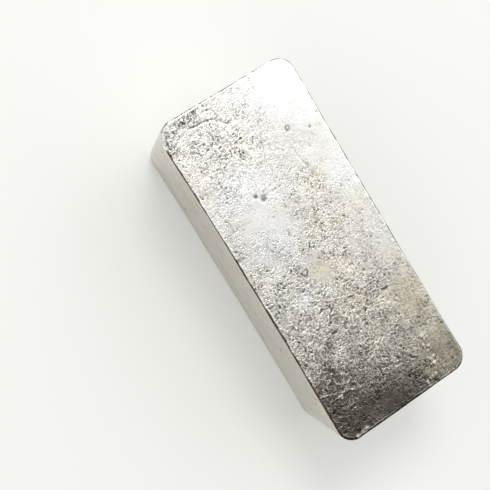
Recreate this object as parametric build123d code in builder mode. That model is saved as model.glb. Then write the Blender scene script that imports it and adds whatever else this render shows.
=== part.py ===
from build123d import *
import os
from math import radians, tan, sin, cos

os.makedirs("parts", exist_ok=True)

# A bismuth ingot, poured into an open mould and knocked out of it.
# Millimetres. The long axis is X, the base lies on Z = 0 and the pour face is up.
# Every size that stands on its own is named here, and the rest follows from these.

length = 88.7            # pour face, end to end
width = 38.1             # pour face, across its ends
height = 34.2            # base to the top of the crown
draft_angle = 4.0        # degrees, every wall leans in by this towards the base
corner_radius = 4.2      # the four upright corners, at the rim
base_corner_radius = 4.4 # the same corners, down at the base
waist = 0.45             # each long edge draws in by this at the middle of its length
base_edge_radius = 2.6   # where the walls run into the base, all round
crown = 0.55             # the pour face stands this much higher in the middle than at its corners
rim_radius = 0.4         # the rim itself is nearly sharp

# One corner of the rim is knocked off to a small sloping facet.
facet_reach = 2.6        # from the sharp corner of the outline in to the facet's upper edge
facet_dip = 30.0         # degrees below level, outwards
facet_heading = 58.0     # degrees from +X, the way that the facet faces

inset = height * tan(radians(draft_angle))
base_length = length - 2 * inset
base_width = width - 2 * inset
crown_radius = ((length / 2) ** 2 + (width / 2) ** 2 + crown ** 2) / (2 * crown)

with BuildPart() as ingot:
    # The two outlines, base and rim, with the long edges drawn in and the corners rounded.
    with BuildSketch(Plane.XY) as base_outline:
        with BuildLine():
            Line((base_length / 2, -base_width / 2), (base_length / 2, base_width / 2))
            ThreePointArc((base_length / 2, base_width / 2), (0, base_width / 2 - waist),
                          (-base_length / 2, base_width / 2))
            Line((-base_length / 2, base_width / 2), (-base_length / 2, -base_width / 2))
            ThreePointArc((-base_length / 2, -base_width / 2), (0, waist - base_width / 2),
                          (base_length / 2, -base_width / 2))
        make_face()
        fillet(base_outline.vertices(), base_corner_radius)
    with BuildSketch(Plane.XY.offset(height)) as rim_outline:
        with BuildLine():
            Line((length / 2, -width / 2), (length / 2, width / 2))
            ThreePointArc((length / 2, width / 2), (0, width / 2 - waist), (-length / 2, width / 2))
            Line((-length / 2, width / 2), (-length / 2, -width / 2))
            ThreePointArc((-length / 2, -width / 2), (0, waist - width / 2), (length / 2, -width / 2))
        make_face()
        fillet(rim_outline.vertices(), corner_radius)
    loft(ruled=True)

    # The mould's rounded bottom edge.
    fillet(ingot.faces().sort_by(Axis.Z)[0].edges(), base_edge_radius)

    # The free surface is very slightly crowned, so the rim dips a little towards the four corners.
    with Locations((0, 0, height - crown_radius)):
        Sphere(crown_radius, mode=Mode.INTERSECT)
    fillet(ingot.faces().sort_by(Axis.Z)[-1].edges(), rim_radius)

    # The knocked corner.
    facet_origin = (length / 2 - facet_reach * cos(radians(facet_heading)),
                    width / 2 - facet_reach * sin(radians(facet_heading)),
                    height - crown)
    facet_normal = (sin(radians(facet_dip)) * cos(radians(facet_heading)),
                    sin(radians(facet_dip)) * sin(radians(facet_heading)),
                    cos(radians(facet_dip)))
    with BuildSketch(Plane(origin=facet_origin, z_dir=facet_normal)):
        Rectangle(width, width)
    extrude(amount=corner_radius * 2, mode=Mode.SUBTRACT)

ingot.part.label = "ingot"
export_step(ingot.part, "parts/ingot.step")

box = ingot.part.bounding_box()
print("ingot", round(box.size.X, 2), "x", round(box.size.Y, 2), "x", round(box.size.Z, 2), "mm")
print("volume", round(ingot.part.volume / 1000, 3), "cm3, solids", len(ingot.part.solids()))
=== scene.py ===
# %% [markdown]
# # A cast bismuth ingot, from the frame to the finished picture
#
# The object is one small bar of bismuth, about 89 mm long. Molten metal was poured into an open
# mould and left to set, so the bar has two kinds of skin: the pour face, which set in the open air,
# and the walls and base, which took their shape and their greyer, smoother finish from the mould.
# Each gets its own relief and its own colours below. Everything is in metres, in the same place as
# the CAD solid.

# %% Load the frame
import math

import bmesh
import bpy
from mathutils import Matrix, Vector


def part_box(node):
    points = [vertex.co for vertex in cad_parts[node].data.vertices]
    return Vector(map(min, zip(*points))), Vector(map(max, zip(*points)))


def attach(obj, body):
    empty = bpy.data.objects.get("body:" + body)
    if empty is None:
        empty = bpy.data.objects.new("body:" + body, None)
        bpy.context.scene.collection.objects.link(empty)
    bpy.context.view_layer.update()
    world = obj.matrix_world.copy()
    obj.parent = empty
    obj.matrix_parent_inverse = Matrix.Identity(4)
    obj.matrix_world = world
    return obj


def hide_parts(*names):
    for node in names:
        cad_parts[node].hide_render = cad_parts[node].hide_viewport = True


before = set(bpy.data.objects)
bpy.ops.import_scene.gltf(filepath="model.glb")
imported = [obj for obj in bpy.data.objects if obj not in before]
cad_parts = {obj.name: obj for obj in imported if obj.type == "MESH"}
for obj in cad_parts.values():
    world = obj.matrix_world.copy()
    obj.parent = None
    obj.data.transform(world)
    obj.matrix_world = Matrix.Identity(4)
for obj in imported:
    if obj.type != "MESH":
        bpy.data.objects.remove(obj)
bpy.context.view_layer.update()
MM = 0.001
node_low, node_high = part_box("ingot")
print("CAD ingot, mm:", [round((b - a) / MM, 2) for a, b in zip(node_low, node_high)])

# %% [markdown]
# ## The camera
#
# The bar lies flat, and the camera hangs almost straight over it, turned so that the bar runs from
# the upper left to the lower right of the picture. A camera can be placed by three directions: what
# is right, what is up, and what is behind it. Those three are the columns of its rotation. A focal
# length of 1100 pixels on a frame 490 pixels wide is a short telephoto lens.

# %% Place the camera
FRAME_PX = 490
FOCAL_PX = 1100
SENSOR = 36.0              # millimetres, the width of the frame on a full-size sensor
camera_place = Vector((34.02, 75.46, 286.12)) * MM
right = Vector((-0.51868, -0.81865, 0.24656))
down = Vector((-0.85008, 0.52461, -0.04642))
ahead = Vector((-0.09134, -0.23367, -0.96802))

camera_data = bpy.data.cameras.new("camera")
camera_data.sensor_width = SENSOR
camera_data.lens = SENSOR * FOCAL_PX / FRAME_PX
camera_data.clip_start = 0.01
camera = bpy.data.objects.new("camera", camera_data)
bpy.context.scene.collection.objects.link(camera)
turn = Matrix((right, -down, -ahead)).transposed()
camera.matrix_world = Matrix.Translation(camera_place) @ turn.to_4x4()
bpy.context.scene.camera = camera
bpy.context.scene.view_settings.view_transform = "Standard"
print("lens", round(camera_data.lens, 1), "mm")


# %% [markdown]
# ## Helpers for edit mode
#
# An edit-mode tool acts on whatever is selected, so each step first clears the selection and then
# picks what it needs by place. Three small helpers keep that in one spot.

# %% Selection helpers
def pick_edges(work, test):
    """Select only the edges that pass the test, and say how many."""
    bpy.ops.mesh.select_mode(type="EDGE")
    bpy.ops.mesh.select_all(action="DESELECT")
    mesh = bmesh.from_edit_mesh(work.data)
    chosen = [edge for edge in mesh.edges if test(edge)]
    for edge in chosen:
        edge.select_set(True)
    bmesh.update_edit_mesh(work.data)
    return len(chosen)


def pick_faces(work, test):
    """Select only the faces that pass the test, and say how many."""
    bpy.ops.mesh.select_mode(type="FACE")
    bpy.ops.mesh.select_all(action="DESELECT")
    mesh = bmesh.from_edit_mesh(work.data)
    chosen = [face for face in mesh.faces if test(face)]
    for face in chosen:
        face.select_set(True)
    bmesh.update_edit_mesh(work.data)
    return len(chosen)


def fill_loop(work, across, start):
    """Fill the selected outline with a grid whose first corner is the vertex nearest to start."""
    mesh = bmesh.from_edit_mesh(work.data)
    outline = [vertex for vertex in mesh.verts if vertex.select]
    corner = min(outline, key=lambda vertex: (vertex.co.xy - start).length)
    mesh.select_history.clear()
    mesh.select_history.add(corner)
    bmesh.update_edit_mesh(work.data)
    bpy.ops.mesh.fill_grid(span=across, offset=0, use_interp_simple=True)


# %% [markdown]
# ## The outline of the rim
#
# Seen from above, the bar is a long rectangle with rounded corners. A plane with its four corners
# bevelled gives that outline. Its face is thrown away and its straight edges are divided, so that
# all the points of the outline stand about half a millimetre apart: the grid that fills it then has
# nearly square faces, which take fine relief evenly. The long sides are cut twice: first into steps
# of a millimetre, then each of those in half.

# %% Make the outline
LENGTH, WIDTH, HEIGHT = 88.7 * MM, 38.1 * MM, 34.2 * MM
CORNER = 4.2 * MM          # radius of the upright corners
RIM_RADIUS = 0.35 * MM     # the rim is nearly sharp
CORNER_STEPS = 12
LONG_STEPS, SHORT_STEPS = 160, 60

bpy.ops.object.select_all(action="DESELECT")
bpy.ops.mesh.primitive_plane_add(size=1, location=(0, 0, HEIGHT))
bar = bpy.context.object
bar.name = "ingot_cast"
bpy.ops.object.transform_apply(location=True, rotation=True, scale=True)
bpy.ops.object.mode_set(mode="EDIT")
bpy.ops.transform.resize(value=(LENGTH, WIDTH, 1), center_override=(0, 0, HEIGHT))
bpy.ops.mesh.bevel(offset=CORNER, offset_type="OFFSET", segments=CORNER_STEPS, affect="VERTICES", profile=0.5)
bpy.ops.mesh.delete(type="ONLY_FACE")
pick_edges(bar, lambda edge: edge.calc_length() > LENGTH / 2)
bpy.ops.mesh.subdivide(number_cuts=LONG_STEPS // 2 - 1)
pick_edges(bar, lambda edge: 0.9 * MM < edge.calc_length() < 2 * MM)
bpy.ops.mesh.subdivide(number_cuts=1)
pick_edges(bar, lambda edge: edge.calc_length() > WIDTH / 2)
bpy.ops.mesh.subdivide(number_cuts=SHORT_STEPS - 1)
print("points in the outline:", len(bmesh.from_edit_mesh(bar.data).verts))

# %% [markdown]
# ## The pour face, the walls and the base
#
# The outline is drawn in a little and filled with a grid: that is the pour face. Then the outline
# is extruded again and again, each new ring moved down and scaled in or out. The first few rings
# round the rim, one long step makes the wall, which leans in by four degrees so that the bar could
# leave its mould, and the last few make the round edge of the base. A second grid closes the base.

# %% Where the rings lie
DRAFT = math.tan(math.radians(4))
BASE_RADIUS = 2.6 * MM
RIM_STEPS, BASE_STEPS = 4, 6
WALL_FINE, FINE_GAP = 4, 0.3 * MM


def rings():
    """Yield how far each ring is drawn in, and its height, from the rim to the base."""
    for step in range(RIM_STEPS + 1):
        angle = math.pi / 2 * step / RIM_STEPS
        yield RIM_RADIUS * (1 - math.sin(angle)), HEIGHT - RIM_RADIUS * (1 - math.cos(angle))
    for step in range(1, WALL_FINE + 1):
        drop = RIM_RADIUS + FINE_GAP * step
        yield DRAFT * (drop - RIM_RADIUS), HEIGHT - drop
    foot = DRAFT * (HEIGHT - RIM_RADIUS - BASE_RADIUS)
    for step in range(BASE_STEPS + 1):
        angle = math.pi / 2 * step / BASE_STEPS
        yield foot + BASE_RADIUS * (1 - math.cos(angle)), BASE_RADIUS * (1 - math.sin(angle))


print("rings:", len(list(rings())))

# %% Build the body ring by ring
bpy.ops.mesh.select_mode(type="VERT")
bpy.ops.mesh.select_all(action="SELECT")
size_x, size_y, level = LENGTH / 2, WIDTH / 2, HEIGHT
diagonal = Vector((LENGTH / 2 - CORNER * (1 - math.sqrt(0.5)), WIDTH / 2 - CORNER * (1 - math.sqrt(0.5))))
for number, (inset, height) in enumerate(rings()):
    new_x, new_y = LENGTH / 2 - inset, WIDTH / 2 - inset
    if number:
        bpy.ops.mesh.extrude_edges_move(TRANSFORM_OT_translate={"value": (0, 0, height - level)})
    bpy.ops.transform.resize(value=(new_x / size_x, new_y / size_y, 1), center_override=(0, 0, height))
    size_x, size_y, level = new_x, new_y, height
shrink = Vector((size_x / (LENGTH / 2), size_y / (WIDTH / 2)))
fill_loop(bar, SHORT_STEPS + CORNER_STEPS, Vector((diagonal.x * shrink.x, diagonal.y * shrink.y)))
pick_edges(bar, lambda edge: all(vertex.co.z > HEIGHT - 1e-7 for vertex in edge.verts))
fill_loop(bar, SHORT_STEPS + CORNER_STEPS, diagonal)
bpy.ops.mesh.select_all(action="SELECT")
bpy.ops.mesh.normals_make_consistent(inside=False)
print("faces:", len(bmesh.from_edit_mesh(bar.data).faces))

# %% [markdown]
# ## Enough points for the relief
#
# The long step of the wall is cut into bands about 0.6 mm high. The pour face carries the finest
# relief, grains about seven tenths of a millimetre across, so each of its faces is divided into four.

# %% Divide the wall and the pour face
WALL_CUTS = 48

pick_edges(bar, lambda edge: abs(edge.verts[0].co.z - edge.verts[1].co.z) > HEIGHT / 2)
bpy.ops.mesh.subdivide(number_cuts=WALL_CUTS)
pick_faces(bar, lambda face: face.normal.z > 0.999)
bpy.ops.mesh.subdivide(number_cuts=1)
bpy.ops.object.mode_set(mode="OBJECT")
print("triangles:", sum(len(face.vertices) - 2 for face in bar.data.polygons))


# %% [markdown]
# ## A short way to write node trees
#
# Relief, lights and materials are all node trees. This helper adds one node per call, sets or links
# its inputs, and gives back an output, so a tree reads like a formula. Its last few words join masks:
# a mask is a number of 0 to 1 that says how much of something there is at each point.

# %% Node helper
class Nodes:
    """Adds nodes to a tree. An input may be a number, a colour or another node's output."""

    def __init__(self, tree):
        self.tree = tree

    def add(self, kind, inputs=None, out=0, **settings):
        node = self.tree.nodes.new(kind)
        for name, value in settings.items():
            setattr(node, name, value)
        for name, value in (inputs or {}).items():
            self.put(node.inputs[name], value)
        return node if out is None else node.outputs[out]

    def put(self, socket, value):
        if isinstance(value, bpy.types.NodeSocket):
            self.tree.links.new(value, socket)
        elif value is not None:
            socket.default_value = value

    def math(self, operation, a, b=None, c=None):
        return self.add("ShaderNodeMath", {0: a, 1: b, 2: c}, operation=operation)

    def vector(self, operation, a, b=None, out=0):
        return self.add("ShaderNodeVectorMath", {0: a, 1: b}, out=out, operation=operation)

    def scaled(self, a, factor):
        return self.add("ShaderNodeVectorMath", {0: a, "Scale": factor}, operation="SCALE")

    def parts(self, vector):
        """The three numbers of a place or a colour."""
        return self.add("ShaderNodeSeparateXYZ", {0: vector}, out=None).outputs

    def ramp(self, value, low, high, to_low=0.0, to_high=1.0):
        """A smooth step: to_low below low, to_high above high."""
        return self.add("ShaderNodeMapRange", {0: value, 1: low, 2: high, 3: to_low, 4: to_high},
                        interpolation_type="SMOOTHSTEP")

    def fading(self, value, low, high):
        """A smooth step down: one below low, nothing above high."""
        return self.ramp(value, low, high, 1.0, 0.0)

    def noise(self, place, scale, detail=2.0, roughness=0.5, out="Fac", **more):
        values = {"Vector": place, "Scale": scale, "Detail": detail, "Roughness": roughness}
        values.update({name.capitalize(): value for name, value in more.items()})
        return self.add("ShaderNodeTexNoise", values, out=out)

    def centred(self, value):
        """A noise of 0 to 1 shifted to lie around zero."""
        return self.math("SUBTRACT", value, 0.5)

    def total(self, *terms):
        result = terms[0]
        for term in terms[1:]:
            result = self.math("ADD", result, term)
        return result

    def product(self, *terms):
        result = terms[0]
        for term in terms[1:]:
            result = self.math("MULTIPLY", result, term)
        return result

    def strongest(self, *masks):
        """The largest of several masks at each point."""
        result = masks[0]
        for mask in masks[1:]:
            result = self.math("MAXIMUM", result, mask)
        return result

    def inverse(self, mask):
        """One where the mask is nothing, and nothing where it is one."""
        return self.math("SUBTRACT", 1.0, mask)


# %% [markdown]
# ## Geometry Nodes trees
#
# Geometry Nodes can move every point of a mesh by a formula. A tree is made empty, filled with the
# helper above, run on the bar as a modifier, and applied, so that nothing stays live.

# %% Helpers for geometry trees
def mesh_tree(name):
    """An empty Geometry Nodes tree with one mesh going in and one coming out."""
    tree = bpy.data.node_groups.new(name, "GeometryNodeTree")
    for in_out in ("INPUT", "OUTPUT"):
        tree.interface.new_socket("Geometry", in_out=in_out, socket_type="NodeSocketGeometry")
    return tree, Nodes(tree)


def store(n, mesh, name, value):
    """Keep a number on every point of the mesh, under a name that materials can read."""
    return n.add("GeometryNodeStoreNamedAttribute", {"Geometry": mesh, "Name": name, "Value": value},
                 data_type="FLOAT", domain="POINT")


def stored(n, name):
    """A number that an earlier tree kept on every point."""
    return n.add("GeometryNodeInputNamedAttribute", {"Name": name}, data_type="FLOAT")


def moved(n, mesh, offset):
    """The mesh with its points moved by an offset in millimetres."""
    return n.add("GeometryNodeSetPosition", {"Geometry": mesh, "Offset": n.scaled(offset, MM)})


def apply_tree(work, group):
    """Run a Geometry Nodes tree on a mesh and keep the result."""
    bpy.ops.object.select_all(action="DESELECT")
    work.select_set(True)
    bpy.context.view_layer.objects.active = work
    modifier = work.modifiers.new(group.name, "NODES")
    modifier.node_group = group
    bpy.ops.object.modifier_apply(modifier=modifier.name)


# %% [markdown]
# ## The real form: drawn-in sides, a crown and a knocked corner
#
# Nothing cast by hand is quite straight. The long sides draw in a little towards the middle, the
# pour face stands half a millimetre higher in its middle than at its corners, and one corner has
# been knocked to a small sloping facet. The sizes are those of the CAD solid, apart from two: the
# facet reaches a little further in, because its soft edge makes it look smaller, and the rim is a
# shade tighter. The rim also wavers by a few hundredths of a millimetre, as a poured edge does.
#
# While the outline is still a plain rounded rectangle, each point's distance from the rim is stored
# on the mesh, because later steps ask for it. It is the usual formula for a rounded rectangle: how
# far a point lies inside the straight edges, or how far it is from the centre of its corner.

# %% Distance from the rim
tree, n = mesh_tree("form")
place = n.scaled(n.add("GeometryNodeInputPosition"), 1 / MM)
x, y, z = n.parts(place)

corner_x = n.math("SUBTRACT", n.math("ABSOLUTE", x), (LENGTH / 2 - CORNER) / MM)
corner_y = n.math("SUBTRACT", n.math("ABSOLUTE", y), (WIDTH / 2 - CORNER) / MM)
past_x, past_y = n.math("MAXIMUM", corner_x, 0.0), n.math("MAXIMUM", corner_y, 0.0)
outside = n.vector("LENGTH", n.add("ShaderNodeCombineXYZ", {0: past_x, 1: past_y}), out="Value")
inside = n.math("MINIMUM", n.math("MAXIMUM", corner_x, corner_y), 0.0)
from_rim = n.math("SUBTRACT", CORNER / MM, n.total(outside, inside))
below_rim = n.math("SUBTRACT", HEIGHT / MM, z)
measured = store(n, n.add("NodeGroupInput"), "from_rim", from_rim)
measured = store(n, measured, "below_rim", below_rim)
print("nodes that measure from the rim:", len(tree.nodes))

# %% Draw in the sides, crown the face and let the rim waver
WAIST = 0.45               # these are in millimetres
CROWN = 0.55
RIM_WAVER = 0.25           # strength of the noise; the rim moves by about a sixth of it

along = n.math("DIVIDE", x, LENGTH / MM / 2)
bow = n.inverse(n.product(along, along))
shift_y = n.product(n.math("DIVIDE", y, -WIDTH / MM / 2), bow, WAIST)
crown_radius = ((LENGTH / MM / 2) ** 2 + (WIDTH / MM / 2) ** 2 + CROWN ** 2) / (2 * CROWN)
out_square = n.total(n.product(x, x), n.product(y, y))
shift_z = n.product(out_square, -0.5 / crown_radius, n.ramp(z, 15.0, 32.0))
waver = n.vector("SUBTRACT", n.noise(place, 0.13, 4.0, 0.6, out="Color"), (0.5, 0.5, 0.5))
at_rim = n.product(n.fading(from_rim, 0.3, 2.5), n.fading(below_rim, 0.5, 4.0))
waver = n.vector("MULTIPLY", n.scaled(waver, n.product(at_rim, RIM_WAVER)), (1.0, 1.0, 0.4))
bent = moved(n, measured, n.vector("ADD", n.add("ShaderNodeCombineXYZ", {1: shift_y, 2: shift_z}), waver))
print("radius of the crown:", round(crown_radius), "mm")

# %% Knock the corner
FACET_REACH, FACET_DIP, FACET_HEADING = 3.3, math.radians(30), math.radians(58)

heading = Vector((math.cos(FACET_HEADING), math.sin(FACET_HEADING), 0))
facet_point = Vector((LENGTH / 2, WIDTH / 2, HEIGHT)) / MM - heading * FACET_REACH - Vector((0, 0, CROWN))
facet_normal = heading * math.sin(FACET_DIP) + Vector((0, 0, math.cos(FACET_DIP)))
from_facet = n.vector("SUBTRACT", place, tuple(facet_point))
beyond = n.vector("DOT_PRODUCT", from_facet, tuple(facet_normal), out="Value")
near = n.fading(n.vector("DISTANCE", place, tuple(facet_point), out="Value"), 6.0, 9.0)
push = n.product(n.math("SMOOTH_MAX", beyond, 0.0, 0.5), near, -1.0)
knocked = moved(n, bent, n.scaled(tuple(facet_normal), push))
knocked = store(n, knocked, "knocked", n.product(n.ramp(beyond, -0.6, 0.3), near))
n.add("NodeGroupOutput", {0: knocked}, out=None)
apply_tree(bar, tree)
print("size after forming, mm:", [round(d / MM, 2) for d in bar.dimensions])

# %% [markdown]
# ## The skin
#
# Bismuth sets with a lively skin. The pour face rises and falls in slow swells, is wrinkled where
# the surface froze in stages, and is grained like fine orange peel. Small round pocks lie in it, and
# thin curls stand up from it. How lively it is changes over the face: in a few spots it set calm and
# smooth. The marks that stand out one by one are lists of places: round pits, rings, short open
# seams, a band of dark blots inside the knocked corner, thin ridges, a trail of freckles and nicks in
# the rim. They could be sculpted by hand, but a list is easier to change and keeps their sizes right.
# All of it is in millimetres, and a place is given along the bar and across it.

# %% Calm and lively spots, pits and rings
# spots: place, radius
CALM = [(34, -15, 14), (20, -17, 9), (13, 7, 9), (43, -12, 8), (-5, 3, 5), (-42, 6, 8)]
LIVELY = [(41, 13, 9), (33, 5, 9), (14, -8, 8), (3, -5, 9), (-15, -4, 8), (-36, 12, 12), (-42, -8, 8)]
# round pits: place, radius, depth, darkness
PITS = [(17.2, 4.7, 1.15, 0.07, 0.80), (18.5, 6.2, 0.65, 0.06, 0.85), (28.2, -17.9, 0.42, 0.08, 0.65),
        (25.9, -14.5, 0.50, 0.08, 0.65), (22.0, -11.9, 0.35, 0.05, 0.40), (33.2, -12.9, 0.30, 0.04, 0.35),
        (37.5, -4.3, 0.32, 0.04, 0.45), (35.4, 10.4, 0.50, 0.08, 0.75), (33.7, 10.3, 0.60, 0.08, 0.65),
        (24.8, 12.1, 0.50, 0.06, 0.60), (23.8, 11.2, 0.35, 0.05, 0.55), (25.7, 9.2, 0.40, 0.05, 0.65),
        (-10.5, -7.4, 0.48, 0.06, 0.95), (-22.1, -1.1, 0.50, 0.10, 0.85), (-12.7, 13.5, 0.45, 0.08, 0.90)]
# rings: place, radius of the ring
RINGS = [(28.6, -9.5, 0.55), (-3.2, 5.6, 0.70), (-21.1, 9.7, 0.60), (-26.9, 12.8, 0.90)]
print(len(PITS), "pits,", len(RINGS), "rings")

# %% Seams, blots, ridges, freckles and nicks
# short open seams: ends, half width, darkness
SEAMS = [((-14.4, -11.3), (-15.2, -10.8), 0.24, 0.8), ((-17.4, -10.5), (-17.1, -8.7), 0.32, 1.0),
         ((-16.4, -7.4), (-16.2, -4.9), 0.24, 0.7), ((-14.4, -1.5), (-14.2, -0.4), 0.288, 1.0),
         ((-14.1, 4.2), (-14.0, 5.0), 0.256, 0.9), ((-13.0, 6.5), (-13.4, 7.4), 0.256, 0.9),
         ((-20.8, -1.4), (-20.8, -0.5), 0.288, 1.0), ((-19.3, 5.8), (-19.6, 8.1), 0.24, 0.7),
         ((40.5, 11.4), (39.9, 9.0), 0.288, 0.80), ((39.9, 9.0), (40.3, 8.2), 0.32, 0.90),
         ((40.3, 8.2), (39.3, 4.9), 0.288, 0.75), ((39.3, 4.9), (36.8, 2.8), 0.272, 0.60),
         ((33.4, -3.8), (27.5, -1.6), 0.24, 0.30), ((27.5, -1.6), (24.0, -0.5), 0.24, 0.30),
         ((23.8, -7.8), (17.0, -8.8), 0.224, 0.20), ((17.0, -8.8), (13.3, -9.4), 0.224, 0.20),
         ((-34.7, -6.3), (-35.6, -7.0), 0.32, 0.9)]
# a band of dark blots inside the knocked corner: ends
BLOTS = [((42.9, 8.6), (42.8, 12.4)), ((43.0, 12.6), (42.1, 15.0)), ((42.1, 15.0), (40.6, 17.0)),
         ((40.6, 17.0), (37.6, 17.6))]
# thin ridges: ends, half width
RIDGES = [((-30.5, 18.2), (-32.5, 12.9), 0.32), ((-32.5, 12.9), (-34.7, 5.2), 0.22),
          ((-29.4, 1.9), (-29.9, 3.4), 0.38), ((-33.3, -6.6), (-34.4, -6.3), 0.32),
          ((-34.4, -6.3), (-35.3, -7.6), 0.38), ((-43.2, 12.2), (-43.6, 15.4), 0.55)]
# a trail of pale freckles: ends
TRAIL = [((-32.5, -11.8), (-37.0, -11.0)), ((-37.0, -11.0), (-40.6, -10.9)), ((-40.6, -10.9), (-42.9, -6.8))]
# nicks in the rim: place, radius
NICKS = [(9.5, -18.6, 1.3), (7.4, 18.6, 1.1), (39.2, 18.8, 1.2), (36.7, 18.8, 1.0), (-43.4, 14.6, 1.2),
         (-8.0, -18.6, 0.9)]
print(len(SEAMS), "stretches of seam,", len(RIDGES), "of ridge,", len(NICKS), "nicks")


# %% [markdown]
# ## From a place to a mask
#
# A mark is a formula too: one at the mark, and falling to nothing at its radius or width. To keep
# marks from looking drawn with a compass, the place that goes into the formula is first stirred by
# noise.

# %% Masks for marks
def spot(n, place, x, y, radius, soft):
    """One at a point of the pour face, falling to nothing at the radius."""
    gap = n.vector("DISTANCE", place, (x, y, HEIGHT / MM), out="Value")
    return n.fading(gap, radius * (1 - soft), radius)


def spots(n, place, places, soft):
    """The masks of several spots in one."""
    return n.strongest(*[spot(n, place, x, y, radius, soft) for x, y, radius in places])


def line(n, place, start, end, width):
    """One along a straight line on the pour face, falling to nothing at its width."""
    start, end = Vector((*start, HEIGHT / MM)), Vector((*end, HEIGHT / MM))
    run = end - start
    step = n.vector("SUBTRACT", place, tuple(start))
    share = n.math("DIVIDE", n.vector("DOT_PRODUCT", step, tuple(run), out="Value"), run.length_squared)
    share = n.math("MINIMUM", n.math("MAXIMUM", share, 0.0), 1.0)
    gap = n.vector("LENGTH", n.vector("SUBTRACT", step, n.scaled(tuple(run), share)), out="Value")
    return n.fading(gap, width * 0.3, width)


def ring(n, place, x, y, radius):
    """A thin ring on the pour face."""
    gap = n.vector("DISTANCE", place, (x, y, HEIGHT / MM), out="Value")
    return n.ramp(n.math("ABSOLUTE", n.math("SUBTRACT", gap, radius)), 0.10, 0.32, 0.8, 0.0)


def stirred(n, place, scale, reach):
    """A place pushed about by noise, so that what is drawn there gets a ragged edge."""
    push = n.vector("SUBTRACT", n.noise(place, scale, 3.0, 0.6, out="Color"), (0.5, 0.5, 0.5))
    return n.vector("ADD", place, n.scaled(push, reach))


def elsewhere(n, place, *shift):
    """A place far off, where the same noise looks different."""
    return n.vector("ADD", place, shift)


# %% [markdown]
# ## Patterns for the relief
#
# A noise runs from 0 to 1, so half is taken off where it has to push both ways. Pocks are cells of a
# Voronoi pattern, each with its own chance and size. Curls are the thin lines along which a noise
# crosses its middle value: such lines wander and close on themselves.

# %% Patterns
def rise(n, place, scale, height, detail=2.0, roughness=0.5):
    """A noise that pushes both ways, with so many features a millimetre, and its height in millimetres."""
    return n.product(n.centred(n.noise(place, scale, detail, roughness)), height)


def thread(n, field, width):
    """Thin lines where a noise crosses its middle value."""
    return n.fading(n.math("ABSOLUTE", n.centred(field)), 0.0, width)


def pocks(n, place, scale, share):
    """Small round pocks of mixed sizes, in a share of the cells that they could be in."""
    cell = n.add("ShaderNodeTexVoronoi", {"Vector": place, "Scale": scale}, out=None, voronoi_dimensions="2D")
    chance, size, _ = n.parts(cell.outputs["Color"])
    reach = n.ramp(size, 0.0, 1.0, 0.18, 0.42)
    round_pock = n.fading(n.math("DIVIDE", cell.outputs["Distance"], reach), 0.65, 1.0)
    return n.product(round_pock, n.ramp(chance, 1.0 - share, 1.2 - share))


def curls(n, place):
    """Thin wandering lines that close on themselves, one or two millimetres across."""
    return thread(n, n.noise(place, 0.55, 1.5, 0.55, distortion=0.6), 0.045)


# %% [markdown]
# ## Where the skin is lively
#
# The relief tree starts with masks. Three of them keep the pour face, the walls and the base apart,
# by which way the surface faces. Another, grainy, says how lively the pour face is at each place: more
# towards the end that is painted dark and towards one side, less in the calm spots.

# %% Masks of the skin
tree, n = mesh_tree("skin")
place = n.scaled(n.add("GeometryNodeInputPosition"), 1 / MM)
x, y, z = n.parts(place)
normal = n.add("GeometryNodeInputNormal")
up = n.parts(normal)[2]
top, base = n.ramp(up, 0.55, 0.95), n.fading(up, -0.95, -0.6)
wall = n.math("SUBTRACT", n.inverse(top), base)
knocked = stored(n, "knocked")
flat = n.vector("ADD", n.vector("MULTIPLY", place, (1, 1, 0)), (0, 0, HEIGHT / MM))
ragged, loose = stirred(n, flat, 0.9, 0.8), stirred(n, flat, 0.15, 14.0)

drift = n.ramp(n.noise(place, 0.10, 3.0, 0.6), 0.36, 0.60, 0.75, 1.05)
ended, sided = n.ramp(x, -34.0, 14.0, 1.0, 0.58), n.ramp(y, -20.0, 10.0, 0.55, 1.0)
grainy = n.product(drift, ended, sided, n.inverse(n.product(spots(n, loose, CALM, 0.8), 0.7)))
grainy = n.math("MINIMUM", n.total(grainy, n.product(spots(n, loose, LIVELY, 0.8), 0.22)), 1.3)
print("nodes that make the masks:", len(tree.nodes))

# %% [markdown]
# ## Relief of the pour face
#
# All sizes are millimetres, so a scale of 0.9 makes about nine features in ten millimetres. The fine
# patterns are multiplied by how lively the skin is, and their sum will move every point along its
# normal. The dark marks are kept as a mask for the material, and noise breaks them up.

# %% Relief of the pour face
POCK_DEPTH, SEAM_DEPTH, NICK_DEPTH = 0.04, 0.07, 0.18
RIDGE_HEIGHT, CURL_HEIGHT = 0.06, 0.035

across = n.vector("MULTIPLY", place, (0.85, 0.38, 0.85))
grain, wrinkle = rise(n, place, 1.35, 0.035, 2.0, 0.6), rise(n, across, 1.0, 0.025, 2.0, 0.6)
swell, ripple = rise(n, place, 0.05, 0.5), rise(n, place, 0.22, 0.10, 3.0, 0.55)
pit = n.strongest(*[n.product(spot(n, ragged, px, py, radius, 0.6), depth)
                    for px, py, radius, depth, _ in PITS])
seam = n.strongest(*[line(n, ragged, start, end, width) for start, end, width, _ in SEAMS])
ridge = n.strongest(*[line(n, ragged, start, end, width) for start, end, width in RIDGES])
freckle = n.ramp(n.noise(place, 1.1, 1.0), 0.50, 0.60)
wandering = stirred(n, flat, 0.5, 3.0)
trail = n.product(n.strongest(*[line(n, wandering, start, end, 1.3) for start, end in TRAIL]), freckle)
ridge = n.strongest(n.product(ridge, n.ramp(n.noise(place, 0.9, 1.0), 0.38, 0.55, 0.35, 1.0)), trail)
lift = n.product(grainy, grainy)
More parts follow.
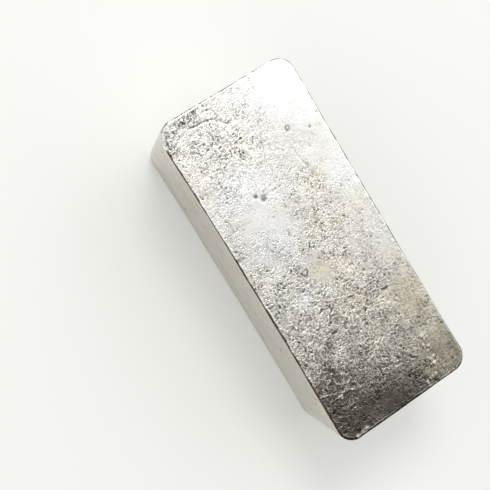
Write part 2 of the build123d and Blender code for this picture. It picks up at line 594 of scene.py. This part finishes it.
face_relief = n.total(swell, ripple, n.product(grainy, n.total(grain, wrinkle)),
                      n.product(pocks(n, flat, 0.9, 0.40), lift, -POCK_DEPTH), n.product(pit, -1.0),
                      n.product(seam, -SEAM_DEPTH), n.product(ridge, RIDGE_HEIGHT),
                      n.product(curls(n, flat), lift, CURL_HEIGHT),
                      n.product(spots(n, ragged, NICKS, 0.8), -NICK_DEPTH))
print("nodes with the relief of the face:", len(tree.nodes))

# %% Dark marks of the pour face
shades = [n.product(spot(n, ragged, px, py, radius, 0.6), shade) for px, py, radius, _, shade in PITS]
shades += [n.product(line(n, ragged, start, end, width), shade) for start, end, width, shade in SEAMS]
shades += [ring(n, ragged, rx, ry, radius) for rx, ry, radius in RINGS]
broken = n.ramp(n.noise(place, 0.8, 2.0), 0.36, 0.56, 0.6, 1.0)
uneven = stirred(n, flat, 0.5, 1.5)
blot = n.product(n.strongest(*[line(n, uneven, start, end, 1.6) for start, end in BLOTS]),
                 n.ramp(n.noise(place, 1.8, 2.0, 0.6), 0.47, 0.58), 0.85)
marked = n.product(n.strongest(n.product(n.strongest(*shades), broken), blot), n.strongest(top, knocked))
print("nodes with the dark marks:", len(tree.nodes))

# %% [markdown]
# ## Relief of the mould side
#
# The walls and the base took their shape from the mould. The metal crept up the wall as it was
# poured, which left soft ripples along the bar, a few cold laps where one flow ran over the last, and
# pinholes. On the base the relief only goes inwards, so that the bar sits flat on the floor. The masks
# are stored on the mesh, because the material has to follow them.

# %% Relief of the mould side, and the whole skin
LAP_DEPTH, PINHOLE_DEPTH, BASE_DEPTH = 0.09, 0.16, 0.04

streak = rise(n, n.vector("MULTIPLY", place, (0.07, 0.07, 0.55)), 1.0, 0.36, 2.5, 0.55)
lap_field = n.total(n.product(z, 0.045), n.product(n.noise(place, 0.06, 3.0), 0.8))
lap = n.product(n.fading(n.math("PINGPONG", lap_field, 0.5), 0.0, 0.018),
                n.ramp(n.noise(place, 0.09, 1.0), 0.48, 0.60))
hole_cells = n.add("ShaderNodeTexVoronoi", {"Vector": place, "Scale": 0.45}, out=None)
hole = n.product(n.fading(hole_cells.outputs["Distance"], 0.04, 0.16),
                 n.ramp(n.parts(hole_cells.outputs["Color"])[0], 0.6, 0.8))
wall_relief = n.total(streak, rise(n, place, 0.55, 0.10, 3.0, 0.6),
                      n.product(lap, -LAP_DEPTH), n.product(hole, -PINHOLE_DEPTH))
base_relief = n.math("MINIMUM", n.product(n.math("SUBTRACT", wall_relief, BASE_DEPTH), base), 0.0)
relief = n.total(n.product(face_relief, top), n.product(wall_relief, wall), base_relief)

skin = moved(n, n.add("NodeGroupInput"), n.scaled(normal, relief))
masks = {"pour_face": n.strongest(top, knocked), "grainy": grainy, "marked": marked,
         "ridge": n.product(ridge, top), "pinhole": n.product(hole, wall), "lap": n.product(lap, wall)}
for name, mask in masks.items():
    skin = store(n, skin, name, mask)
n.add("NodeGroupOutput", {0: skin}, out=None)
apply_tree(bar, tree)
print("size with its skin, mm:", [round(d / MM, 2) for d in bar.dimensions])


# %% [markdown]
# ## Metal
#
# Bare bismuth is a pale silver metal with a faint warm, rosy cast. The whole bar is one metal, so it
# is one material, and masks choose between its two skins. Small helpers start a material, read a
# mask, blend two colours, and lay several thin coats of colour over one another.

# %% Helpers for materials
def new_material(name):
    material = bpy.data.materials.new(name)
    material.use_nodes = True
    material.node_tree.nodes.clear()
    return material, Nodes(material.node_tree)


def mask_of(n, name):
    """A mask or a distance that a geometry tree stored on the mesh."""
    return n.add("ShaderNodeAttribute", out="Fac", attribute_name=name)


def blend(n, amount, low, high):
    """A colour between two, by an amount of 0 to 1."""
    return n.add("ShaderNodeMix", {0: amount, 6: low, 7: high}, out=2, data_type="RGBA")


def coated(n, colour, *coats):
    """A colour under several coats, each given by how much of it there is and its own colour."""
    for amount, coat in coats:
        colour = blend(n, amount, colour, coat)
    return colour


# %% [markdown]
# ## Tints of the pour face
#
# The face is silver with straw, rosy and olive tints, each in soft spots that melt into one another.
# Cloudy patches are duller, a few calm spots are paler, and one end is painted dark as a painted
# reflection, the face darkening towards it. Each tint gets a mask first.

# %% Masks for the tints
# spots: place, radius
WARM = [(-42, -14, 16), (31, 16, 10), (-22, -15, 10), (30, 4, 6), (13, -8, 7), (4, -5, 6), (-6, -2, 8),
        (-14, 0, 7)]
PALE = [(20, 7, 12), (8, 8, 12), (-9, 8, 5), (36, -14, 12), (12, -19, 9), (-4, -19, 9)]
# spots where the end of the pour face is painted dark, a painted reflection of the room's dark patch
DARK_END_SPOTS = [(-44, 14, 26), (-34, 14, 15), (-46, 2, 16)]
DULL = [(40, 9, 13), (27, 9, 11)]

metal, n = new_material("cast_bismuth")
place = n.scaled(n.add("ShaderNodeTexCoord", out="Object"), 1 / MM)
x, y, z = n.parts(place)
face, grainy = mask_of(n, "pour_face"), mask_of(n, "grainy")
loose = stirred(n, place, 0.12, 10.0)
pale, painted_dark_end = spots(n, loose, PALE, 0.8), spots(n, loose, DARK_END_SPOTS, 0.9)
drift = n.ramp(n.total(x, n.product(n.centred(n.noise(place, 0.06, 3.0)), 60)), -40, 30, 0.75, 0.10)
warm = n.product(n.total(n.product(spots(n, loose, WARM, 0.9), 0.45), drift), n.inverse(pale))
rosy = n.ramp(n.noise(elsewhere(n, place, 40, 0, 0), 0.16, 3.0), 0.55, 0.70, 0.0, 0.40)
olive = n.ramp(n.noise(elsewhere(n, place, 0, 40, 0), 0.18, 3.0), 0.54, 0.70, 0.0, 0.40)
# painted reflection: the pour face darkens gradually towards its dark end
painted_falloff = n.product(n.fading(x, -30.0, 18.0), n.inverse(pale))
cloudy = n.fading(n.noise(elsewhere(n, place, 0, 0, 90), 0.38, 4.0, 0.65), 0.36, 0.60)
cloud = n.product(n.inverse(pale), cloudy, n.ramp(grainy, 0.05, 0.6))
print("nodes for the tints:", len(metal.node_tree.nodes))

# %% Coats of the pour face
silver = coated(
    n, blend(n, warm, (0.915, 0.91, 0.90, 1), (0.95, 0.875, 0.70, 1)),
    (n.product(spots(n, loose, DULL, 0.7), 0.26), (0.50, 0.49, 0.47, 1)),
    (n.product(painted_falloff, 0.18), (0.35, 0.33, 0.28, 1)),
    (rosy, (0.92, 0.83, 0.81, 1)),
    (olive, (0.89, 0.89, 0.74, 1)),
    (n.product(cloud, 0.34), (0.52, 0.50, 0.46, 1)),
    # painted reflection: the end of the pour face is painted dark in spots, and darker along the face towards
    # it
    (n.product(painted_dark_end, 0.92), (0.14, 0.132, 0.125, 1)),
    (n.ramp(x, -42.0, -18.0, 0.47, 0.0), (0.30, 0.27, 0.21, 1)),
    (n.product(pale, 0.8), (0.98, 0.98, 0.97, 1)))
print("nodes with its coats:", len(metal.node_tree.nodes))

# %% [markdown]
# ## The fine pattern of the pour face
#
# What catches the eye is the pattern: a maze of thin pale lines with dark cells between them, and
# dark specks that gather in clusters. The maze is one noise, read by how far it is from its middle
# value: the lines are where it is close to it, and the cells where it is far from it. Everything is
# stronger where the skin is lively, and the pale lines all but stop at the end that is painted dark.

# %% Maze and specks
lively = n.ramp(grainy, 0.05, 0.85, 0.12, 1.10)
end = n.strongest(painted_dark_end, n.fading(x, -42.0, -26.0))
flat = n.vector("MULTIPLY", place, (1, 1, 0))
cluster = n.ramp(n.noise(elsewhere(n, place, 0, 60, 0), 0.30, 3.0, 0.65), 0.40, 0.60, 0.25, 1.0)
sand = n.fading(n.noise(place, 2.6, 1.0), 0.32, 0.48)
worm = thread(n, n.noise(flat, 1.05, 1.5, 0.55), 0.06)
dashed = n.vector("MULTIPLY", elsewhere(n, flat, 9, 5, 0), (1.0, 0.6, 1.0))
pock = n.strongest(pocks(n, flat, 0.9, 0.40), pocks(n, dashed, 1.6, 0.5))
maze = n.math("ABSOLUTE", n.centred(n.noise(flat, 0.95, 1.0, 0.5, distortion=0.7)))
lit, shade = n.fading(maze, 0.018, 0.060), n.ramp(maze, 0.09, 0.16)
pepper = n.strongest(n.product(sand, 0.45), n.product(worm, cluster, 0.85), n.product(pock, cluster),
                     n.product(shade, 0.32))
pepper = n.product(pepper, lively, n.ramp(cluster, 0.25, 1.0, 0.80, 1.05))
gather = n.ramp(n.noise(elsewhere(n, place, 70, 0, 0), 0.16, 3.0, 0.6), 0.38, 0.60, 0.45, 1.05)
frost = n.product(lit, lively, gather, n.ramp(end, 0.0, 0.9, 0.90, 0.04))
# painted highlight: the raised curls near the dark end, and the raised ridges, are painted lighter, standing
# in for glints off their slopes
painted_curl_glint = n.product(curls(n, flat), spot(n, loose, -27, 13, 11, 0.7), 0.85)
bright = n.strongest(frost, painted_curl_glint, n.product(mask_of(n, "ridge"), 0.8))
silver = coated(n, silver, (pepper, (0.06, 0.054, 0.045, 1)),
                (bright, blend(n, warm, (0.98, 0.97, 0.95, 1), (0.99, 0.945, 0.83, 1))))
print("nodes with the pattern:", len(metal.node_tree.nodes))

# %% [markdown]
# ## Colours of the mould side
#
# The mould side is greyer and quieter, because it froze against the mould wall. It has faint bands
# along the bar, dull blooms, painted shade that darkens it towards the foot, and dark specks and
# veins that gather in places.
# One long side is calmer and warmer than the rest.

# %% Colours of the mould side
poured = n.noise(n.vector("MULTIPLY", place, (0.025, 0.025, 0.50)), 1.0, 3.0, 0.6)
calm_side = n.ramp(y, 8.0, 18.0)
# painted shade: the walls darken towards the foot, as if they mirrored the shadow on the floor beside it
painted_foot_shade = n.ramp(n.total(z, n.product(n.noise(place, 0.12, 4.0, 0.65), 16.0)), 6.0, 20.0, 0.50, 0.0)
bloom = n.ramp(n.noise(place, 0.14, 4.0, 0.65), 0.42, 0.64)
grit = n.product(n.ramp(n.noise(elsewhere(n, place, 0, 0, 50), 0.08, 4.0, 0.65), 0.50, 0.66, 0.03, 1.0),
                 n.ramp(calm_side, 0.0, 1.0, 1.0, 0.25))
hollow = n.noise(place, 1.5, 2.5, 0.6)
dot = n.product(n.fading(hollow, 0.31, 0.40), grit, 0.70)
vein = n.product(thread(n, n.noise(place, 0.7, 2.0, 0.6), 0.035), grit, 0.25)
dot = n.strongest(dot, vein, n.product(mask_of(n, "pinhole"), 0.8), n.product(mask_of(n, "lap"), 0.25))
drab = coated(
    n, blend(n, calm_side, (0.62, 0.605, 0.57, 1), (0.66, 0.615, 0.525, 1)),
    (painted_foot_shade, (0.30, 0.285, 0.26, 1)),
    (n.ramp(poured, 0.40, 0.60, 0.0, 0.22), (0.48, 0.455, 0.40, 1)),
    (n.product(bloom, 0.12), (0.46, 0.44, 0.40, 1)),
    (n.product(rosy, 0.6), (0.66, 0.58, 0.54, 1)),
    (dot, (0.17, 0.145, 0.12, 1)))
print("nodes with the mould side:", len(metal.node_tree.nodes))

# %% [markdown]
# ## The rim
#
# A thin dark line of painted shade follows the rim, where the edge turns down into shadow; it is of
# uneven width and a little rusty in tint along one side. Just inside it is a light lip, raised a little
# and painted lighter as a highlight, and just below it a light band, a painted highlight. The line
# stops where the corner was knocked off.

# %% Rim
from_rim, below_rim = mask_of(n, "from_rim"), mask_of(n, "below_rim")
thick = n.ramp(n.noise(place, 0.40, 3.0), 0.35, 0.65, n.ramp(x, 38.0, 42.0, 0.10, 0.0), 0.28)
thick = n.total(thick, n.product(n.ramp(y, 4.0, 14.0), n.ramp(x, -8.0, 6.0, 0.12, 0.08)),
                n.ramp(x, -40.0, -30.0, 0.10, 0.0))
past_line = n.math("SUBTRACT", from_rim, thick)
# painted shade: a dark line along the rim, where the edge turns down into shadow
rim_line = n.product(n.fading(past_line, -0.06, 0.08), n.fading(below_rim, 0.30, 0.50),
                     n.fading(mask_of(n, "knocked"), 0.55, 0.9))
rusty = n.product(n.fading(x, -14.0, -6.0), n.ramp(y, 12.0, 16.0))
# painted highlight: a light lip just inside the rim line, also raised in the bump
lip_and_highlight = n.product(n.ramp(past_line, 0.05, 0.18), n.fading(past_line, 0.32, 0.50),
                n.ramp(n.noise(place, 0.25, 2.0), 0.40, 0.60, 0.2, 1.0), face)
# painted highlight: a light band just below the rim, on the wall
glint = n.product(n.ramp(below_rim, 0.5, 0.65), n.fading(below_rim, 0.85, 1.1), 0.45)
# dark holds the real dark marks of the face and the painted shade line of the rim
dark = n.strongest(mask_of(n, "marked"), n.product(rim_line, n.ramp(x, 38.0, 42.0, 0.97, 0.80)))
colour = coated(
    n, blend(n, face, drab, silver),
    (n.product(lip_and_highlight, n.ramp(x, -42.0, -26.0, 0.25, 0.7)), (0.96, 0.95, 0.92, 1)),
    (glint, (0.93, 0.90, 0.84, 1)),
    (dark, blend(n, rusty, (0.045, 0.037, 0.028, 1), (0.10, 0.05, 0.035, 1))))
print("nodes with the rim:", len(metal.node_tree.nodes))

# %% [markdown]
# ## Gloss and fine bump
#
# The mould side is as smooth as satin, a little less so where it has bloomed, and the pour face is
# rougher than either. The finest relief goes into a bump, which only turns the light and moves no
# points: less than a tenth of a millimetre on the pour face, and up to about two tenths on the
# walls, where its broad dimples break up the long ripples of the mesh.

# %% Gloss, bump and the finished metal
FACE_ROUGHNESS = 0.25
BUMP_UNIT = 0.045 * MM     # the heights below are multiples of this

mould_roughness = n.total(n.ramp(bloom, 0.0, 1.0, 0.13, 0.22), n.product(calm_side, 0.02))
rough = n.add("ShaderNodeMix", {0: face, 2: mould_roughness, 3: FACE_ROUGHNESS}, out=0, data_type="FLOAT")
face_bump = n.total(n.product(n.noise(place, 2.4, 2.0, 0.6), 0.25), n.product(lip_and_highlight, 0.6),
                    n.product(pock, -1.0), n.product(lit, n.ramp(end, 0.0, 1.0, 0.5, 0.2)))
face_bump = n.product(face_bump, n.total(n.product(grainy, grainy, face), 0.15))
dimples = n.total(n.product(n.noise(place, 0.40, 3.5, 0.55), 3.0),
                  n.product(n.ramp(hollow, 0.28, 0.42), n.total(grit, 0.1)))
wall_bump = n.product(dimples, n.inverse(face), n.ramp(calm_side, 0.0, 1.0, 3.6, 2.4))
bump = n.add("ShaderNodeBump", {"Height": n.total(face_bump, wall_bump), "Strength": 1.0,
                                "Distance": BUMP_UNIT})
shader = n.add("ShaderNodeBsdfPrincipled",
               {"Base Color": colour, "Metallic": 1.0, "Roughness": rough, "Normal": bump})
n.add("ShaderNodeOutputMaterial", {"Surface": shader}, out=None)
bar.data.materials.clear()
bar.data.materials.append(metal)
bpy.ops.object.shade_smooth()
print("nodes in the metal:", len(metal.node_tree.nodes))

# %% [markdown]
# ## The floor
#
# The bar lies on a plain pale floor. What the camera, and the mirror of the metal, see of it is
# partly a plain pale colour, which softens the shadow without more light on the bar.

# %% Floor
PLAIN_SHARE = 0.28

bpy.ops.object.select_all(action="DESELECT")
bpy.ops.mesh.primitive_plane_add(size=6, location=(0, 0, 0))
floor = bpy.context.object
floor.name = "floor"
paper, n = new_material("paper")
matt = n.add("ShaderNodeBsdfDiffuse", {"Color": (0.93, 0.935, 0.91, 1)})
plain = n.add("ShaderNodeEmission", {"Color": (0.92, 0.925, 0.90, 1), "Strength": 1.0})
rays = n.add("ShaderNodeLightPath", out=None).outputs
seen = n.strongest(rays["Is Camera Ray"], rays["Is Glossy Ray"], rays["Is Transmission Ray"])
surface = n.add("ShaderNodeMixShader", {0: n.product(seen, PLAIN_SHARE), 1: matt, 2: plain})
n.add("ShaderNodeOutputMaterial", {"Surface": surface}, out=None)
floor.data.materials.append(paper)
print("floor, m:", [round(d, 1) for d in floor.dimensions.xy])

# %% [markdown]
# ## The light
#
# A metal shows what is around it, so the room matters as much as the lamps. It is an even pale grey,
# brighter overhead, towards both long sides and where the knocked corner mirrors it, and has one
# dark patch towards the end that is also painted dark, which leaves that end of the pour face in
# shade. A broad soft box fills in from one side. A smaller and brighter one hangs high towards the
# other end: it casts the shadow and makes the skin sparkle.

# %% Room
ROOM_LEVEL = 0.655
# bright patches: how much brighter, towards where, and the angles in degrees between which they fade
BRIGHT = [(0.21, (0.1, 1.0, 0.25), 30, 75), (0.22, (0.52, 0.56, 0.64), 12, 30),
          (0.245, (0.05, -0.40, 1.0), 28, 45), (0.22, (0.1, -1.0, 0.35), 25, 58)]
SHADED = ((-0.75, 0.0, 1.0), 24, 29)

room = bpy.data.worlds.new("room")
bpy.context.scene.world = room
room.use_nodes = True
room.node_tree.nodes.clear()
n = Nodes(room.node_tree)
direction = n.vector("NORMALIZE", n.add("ShaderNodeTexCoord", out="Generated"))


def patch_of_room(n, centre, inner, outer):
    """One around a direction, falling to nothing between two angles."""
    toward = n.vector("DOT_PRODUCT", direction, tuple(Vector(centre).normalized()), out="Value")
    return n.ramp(toward, math.cos(math.radians(outer)), math.cos(math.radians(inner)))


brightness = n.total(ROOM_LEVEL, *[n.product(patch_of_room(n, centre, inner, outer), brighter)
                                   for brighter, centre, inner, outer in BRIGHT])
brightness = n.product(brightness, n.inverse(patch_of_room(n, *SHADED)))
background = n.add("ShaderNodeBackground", {"Color": (1.0, 0.995, 0.98, 1), "Strength": brightness})
n.add("ShaderNodeOutputWorld", {"Surface": background}, out=None)
print("bright patches in the room:", len(BRIGHT))


# %% Soft boxes
def soft_box(name, toward, size, radiance, distance=0.8):
    """A square soft box that faces the bar. Its brightness is given as what a mirror would show."""
    data = bpy.data.lights.new(name, "AREA")
    data.shape = "SQUARE"
    data.size = size
    data.energy = radiance * math.pi * size ** 2
    lamp = bpy.data.objects.new(name, data)
    toward = Vector(toward).normalized()
    lamp.location = toward * distance
    lamp.rotation_euler = (-toward).to_track_quat("-Z", "Y").to_euler()
    bpy.context.scene.collection.objects.link(lamp)
    print("soft box", name, round(data.energy, 3), "W")


soft_box("broad", (0.30, -0.85, 1.0), 0.44, 0.7)
soft_box("high", (0.56, -0.20, 1.0), 0.26, 8.8)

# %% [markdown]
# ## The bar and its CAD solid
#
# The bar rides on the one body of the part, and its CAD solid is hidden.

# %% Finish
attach(bar, "root")
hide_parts("ingot")
